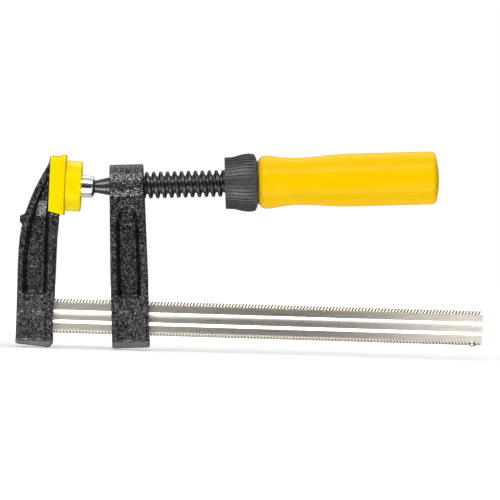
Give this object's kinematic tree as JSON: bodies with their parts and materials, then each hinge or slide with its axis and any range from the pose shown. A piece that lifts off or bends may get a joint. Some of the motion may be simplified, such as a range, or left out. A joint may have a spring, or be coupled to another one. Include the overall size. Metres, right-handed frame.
{
  "type": "f clamp",
  "caption": "Bar clamp with a serrated flat rail, cast fixed jaw, sliding screw arm, swivel pad, soft yellow caps and a turned wooden handle.",
  "frame": {"origin": "where the screw's axis meets the fixed jaw's clamping face, on the mid-plane", "axes": "+X along the rail towards the handle, +Z from the rail up to the screw, +Y across the mid-plane"},
  "size_m": [0.2015, 0.0252, 0.0893],
  "materials": {
    "nickel_steel": "satin nickel plate, serrated edges",
    "textured_black_paint": "coarse textured enamel over a casting",
    "yellow_soft_plastic": "satin soft plastic",
    "zinc_plate": "bright zinc plate",
    "oiled_dark_steel": "black oxide, oily",
    "slate_plastic": "moulded satin plastic",
    "black_steel": "black oxide",
    "lacquered_wood": "glossy yellow lacquer over turned wood"
  },
  "bodies": {
    "frame": {"rail": "nickel_steel", "fixed_jaw": "textured_black_paint", "jaw_cap": "yellow_soft_plastic"},
    "arm": {"sliding_arm": "textured_black_paint"},
    "pressure_pad": {"swivel_pad": "zinc_plate", "pad_cap": "yellow_soft_plastic"},
    "screw": {"spindle": "oiled_dark_steel", "grip_collar": "slate_plastic", "handle_washer": "black_steel", "handle": "lacquered_wood"}
  },
  "joints": [
    {"name": "arm_slide", "type": "slide", "parent": "frame", "child": "arm", "axis": [1, 0, 0], "range_m": [0, 0.1375]},
    {"name": "pad_travel", "type": "slide", "parent": "arm", "child": "pressure_pad", "axis": [0.9984, 0, 0.0558], "range_m": [0, 0.006]},
    {"name": "screw_turn", "type": "hinge", "parent": "pressure_pad", "child": "screw", "pos_m": [0.01042, 0, 0.00058], "axis": [0.9984, 0, 0.0558], "range_deg": [0, 720]}
  ],
  "couplings": [
    {"joint": "screw_turn", "follows": "pad_travel", "rad_per_m": 2094.4}
  ]
}
